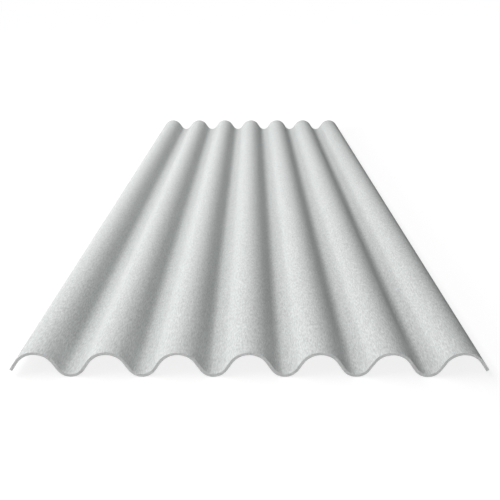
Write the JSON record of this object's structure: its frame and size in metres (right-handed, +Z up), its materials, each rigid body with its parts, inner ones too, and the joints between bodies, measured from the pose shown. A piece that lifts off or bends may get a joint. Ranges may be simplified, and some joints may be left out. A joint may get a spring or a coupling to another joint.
{
  "type": "corrugated fiber cement sheet",
  "caption": "Long flat-lying roofing sheet of fiber cement with rounded waves along its length and both side edges turned down.",
  "frame": {"origin": "centre of the outline, at the height of the valley bottoms that the sheet lies on", "axes": "+Y along the waves, +X across them, +Z up through the crests"},
  "size_m": [0.9802, 3.05, 0.0555],
  "materials": {
    "fiber_cement": "matte"
  },
  "bodies": {
    "root": {"corrugated_sheet": "fiber_cement"}
  },
  "joints": []
}
